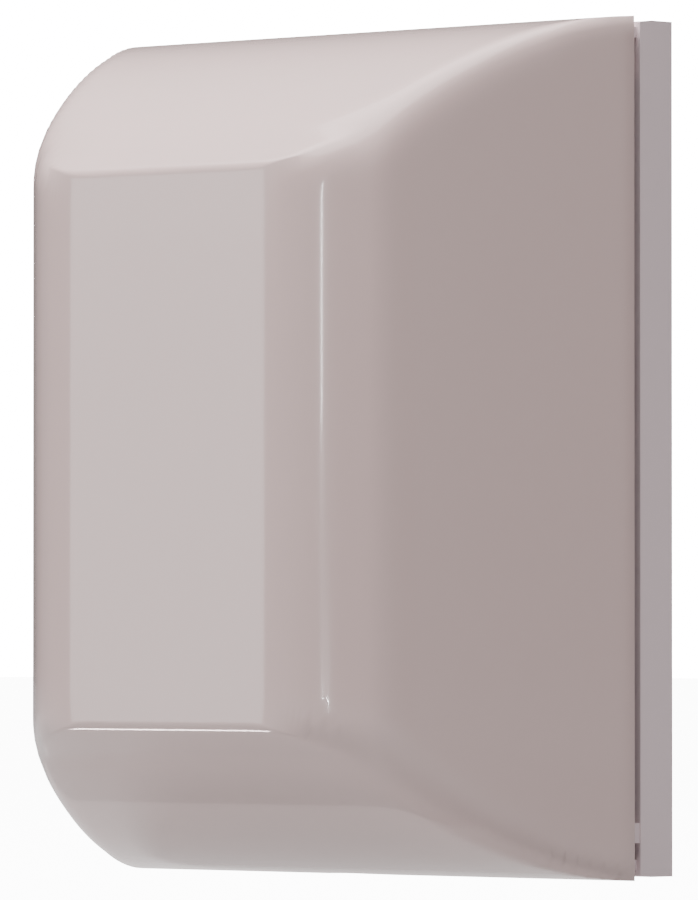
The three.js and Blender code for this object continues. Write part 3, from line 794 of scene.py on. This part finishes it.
def buildBoardParts():
    v = boardValues
    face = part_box("main_board")[0].y
    pieces = []
    for x, z in v["resistors"]:
        deselectAll()
        bpy.ops.mesh.primitive_cylinder_add(vertices=16, radius=v["resistorRadius"],
                                            depth=v["resistorLength"],
                                            location=(x * mm, face - 1.6 * mm, z * mm),
                                            rotation=(0, math.radians(90), 0))
        body = place(named("resistor"))
        insetFaces(body, lambda f: abs(f.normal.x) > 0.9, 0.7 * mm, 1.4 * mm)
        pieces.append(body)
    halfX, halfZ = v["chipHalf"]
    for x, z in v["chips"]:
        chip = blockBetween("chip", (x * mm - halfX, face - 2.2 * mm, z * mm - halfZ),
                            (x * mm + halfX, face - 0.2 * mm, z * mm + halfZ))
        insetFaces(chip, facesFront, 0.5 * mm, 0.15 * mm)
        pieces.append(chip)
        for i in range(v["chipLegs"]):
            for side in (-1, 1):
                legX = x * mm + (i - (v["chipLegs"] - 1) / 2) * v["legPitch"]
                legZ = z * mm + side * (halfZ + 0.4 * mm)
                leg = blockBetween("leg", (legX - 0.35 * mm, face - 1.0 * mm, legZ - 0.5 * mm),
                                   (legX + 0.35 * mm, face - 0.1 * mm, legZ + 0.5 * mm))
                pieces.append(insetFaces(leg, facesFront, 0.1 * mm, 0.1 * mm))
    finishPiece(softEdges(joinAll("board_chips_resistors", pieces), width=0.15 * mm), "base",
                "black_plastic", blackMaterial)
    x, z = (value * mm for value in v["header"])
    pins = []
    for i in range(v["pins"]):
        pinZ = z + (i - v["pins"] / 2) * v["pinPitch"]
        pin = blockBetween("pin", (x - v["pinHalf"], face - 7 * mm, pinZ - v["pinHalf"]),
                           (x + v["pinHalf"], face - 0.1 * mm, pinZ + v["pinHalf"]))
        pins.append(insetFaces(pin, facesFront, 0.12 * mm, 0.4 * mm))
    finishPiece(joinAll("board_header_pins", pins), "base", "brass", brassMaterial)


# Fixings on the gear bridge and the board, which show when the cover is open.
fixingValues = {
    # plate, post, number of posts, radius of the screw's head
    "sets": (("gear_bridge", "bridge_standoff", 3, 3.6 * mm),
             ("main_board", "board_spacer", 4, 2.6 * mm)),
    "headHeight": 2.2 * mm,
    "gap": 0.05 * mm,
}


def buildFixings():
    v = fixingValues
    heads = []
    for plate, post, count, radius in v["sets"]:
        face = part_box(plate)[0].y
        for i in range(1, count + 1):
            low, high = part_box(f"{post}_{i}")
            heads.append(screwHead("fixing_screw", radius, face - v["headHeight"], face - v["gap"],
                                   (low.x + high.x) / 2, (low.z + high.z) / 2))
    finishPiece(softEdges(joinAll("bridge_and_board_screws", heads), width=0.25 * mm), "base",
                "steel", steelMaterial)


for node in ("relay_open", "relay_close", "fuse_holder", "radio_module"):
    buildCase(node)
buildTerminalBlock()
buildCapacitor()
buildTransformer()
buildMotor()
buildBoardParts()
buildFixings()
handMade = {"front_cover", "relay_open", "relay_close", "fuse_holder", "radio_module",
            "terminal_block", "capacitor", "transformer_core", "transformer_coil", "motor_can",
            "motor_end_cap"}
for node in sorted(frame["nodes"]):
    if node not in handMade:
        refine(node)
print("inner pieces ready")


viewValues = {
    "azimuth": 43.7,
    "distance": 3.911,
    "eyeBelowMiddle": 0.08,
    "lookBelowMiddle": 0.0008,
    "lookAcross": 0.0803,
    "lens": 356.0,
}


def addCamera():
    v = viewValues
    angle = math.radians(v["azimuth"])
    right = Vector((math.cos(angle), math.sin(angle), 0))
    towards = Vector((math.sin(angle), -math.cos(angle), 0))
    target = Vector((0, coverLow.y, -v["lookBelowMiddle"])) + right * v["lookAcross"]
    camera = bpy.data.objects.new("camera", bpy.data.cameras.new("camera"))
    context.scene.collection.objects.link(camera)
    camera.location = target + towards * v["distance"] - Vector((0, 0, v["eyeBelowMiddle"]))
    camera.rotation_mode = "QUATERNION"
    camera.rotation_quaternion = (target - camera.location).to_track_quat("-Z", "Y")
    camera.data.lens = v["lens"]
    camera.data.sensor_width = 36
    camera.data.clip_end = 60
    context.scene.camera = camera


lightValues = {
    "backdrop": 18.0,
    "ambient": 0.1,
    "tint": (1.0, 0.985, 0.975, 1),
    "lamps": [
        # name, turn from the front, height, distance, width, height of the lamp, radiance
        ("left_box", -42.3, 0.05, 2.5, 0.5, 0.6, 2.9),
        ("upper_strip", 15.2, 0.19, 2.5, 0.035, 0.25, 50.0),
        ("lower_strip", 15.2, 0.02, 2.5, 0.02, 0.13, 2.0),
        ("left_spark", 16.0, -0.164, 2.5, 0.05, 0.016, 170.0),
        ("right_spark", 19.6, -0.171, 2.5, 0.05, 0.016, 170.0),
    ],
    "overhead": ((-0.3, -0.42, 2.0), (2.4, 2.0), 185.0),
    "overheadSheen": ((-0.3, -0.5, 2.0), (2.4, 2.0), 30.0),
    "floorLine": ((-0.066, -0.190, -0.187), (0.135, 0.012), 0.26, (-0.066, -0.190, 1.0)),
    "floorBand": ((-0.05, -0.0525, -0.1902), (0.4, 0.105), 0.062, (-0.05, -0.0525, 1.0)),
    "floorTint": (1.0, 0.84, 0.82),
    "fill": ((-1.6, -2.4, 0.9), (1.2, 1.4), 3.0),
    "right": ((2.6, 0.3, 0.6), (1.2, 1.6), 1.2),
}


def addLamp(name, spot, size, strength, aim=(0, -0.1, 0)):
    data = bpy.data.lights.new(name, "AREA")
    data.shape = "RECTANGLE"
    data.size, data.size_y = size
    data.energy = strength
    lamp = bpy.data.objects.new(name, data)
    context.scene.collection.objects.link(lamp)
    lamp.location = spot
    lamp.rotation_mode = "QUATERNION"
    lamp.rotation_quaternion = (Vector(aim) - Vector(spot)).to_track_quat("-Z", "Y")
    lamp.visible_camera = False
    return lamp


def addLights():
    v = lightValues
    world = bpy.data.worlds.new("studio")
    context.scene.world = world
    world.use_nodes = True
    tree = world.node_tree
    background = tree.nodes["Background"]
    background.inputs["Color"].default_value = v["tint"]
    path = addNode(tree, "ShaderNodeLightPath")
    strength = addNode(tree, "ShaderNodeMapRange", [("Value", path.outputs["Is Camera Ray"])])
    strength.inputs["To Min"].default_value = v["ambient"]
    strength.inputs["To Max"].default_value = v["backdrop"]
    tree.links.new(strength.outputs["Result"], background.inputs["Strength"])
    for name, turn, height, distance, width, tall, radiance in v["lamps"]:
        angle = math.radians(turn)
        spot = (distance * math.sin(angle), -distance * math.cos(angle), height)
        addLamp(name, spot, (width, tall), radiance * math.pi * width * tall, (0, -0.15, height))
    addLamp("overhead", *v["overhead"]).visible_glossy = False
    addLamp("overhead_sheen", *v["overheadSheen"])
    for name, key in (("floor_line", "floorLine"), ("floor_band", "floorBand")):
        lamp = addLamp(name, *v[key])
        lamp.visible_diffuse = False
        lamp.data.color = v["floorTint"]
    addLamp("fill", *v["fill"])
    addLamp("right", *v["right"])


floorValues = {
    "below": 15 * mm,  # low enough for the release handle at its full travel
    "size": 30,
    "paper": ((0.19, 0.185, 0.185, 1), (0.22, 0.215, 0.215, 1)),
    "glowOnPart": 0.42,
    "glowInView": 12.0,
}


def addFloor():
    v = floorValues
    deselectAll()
    bpy.ops.mesh.primitive_plane_add(size=v["size"], location=(0, 0, coverLow.z - v["below"]))
    floor = place(named("floor"))
    material = bpy.data.materials.new("floor_paper")
    material.use_nodes = True
    tree = material.node_tree
    shader = tree.nodes["Principled BSDF"]
    shader.inputs["Roughness"].default_value = 0.9
    paper = addNode(tree, "ShaderNodeTexNoise", Scale=300.0, Detail=2.0)
    tree.links.new(addNode(tree, "ShaderNodeTexCoord").outputs["Object"], paper.inputs["Vector"])
    tree.links.new(mixColors(tree, paper.outputs["Fac"], *v["paper"]), shader.inputs["Base Color"])
    path = addNode(tree, "ShaderNodeLightPath")
    glow = addNode(tree, "ShaderNodeMapRange", [("Value", path.outputs["Is Camera Ray"])])
    glow.inputs["To Min"].default_value = v["glowOnPart"]
    glow.inputs["To Max"].default_value = v["glowInView"]
    shader.inputs["Emission Color"].default_value = (1, 1, 1, 1)
    tree.links.new(glow.outputs["Result"], shader.inputs["Emission Strength"])
    floor.data.materials.append(material)


addCamera()
addLights()
addFloor()
print("camera, lights and floor ready")
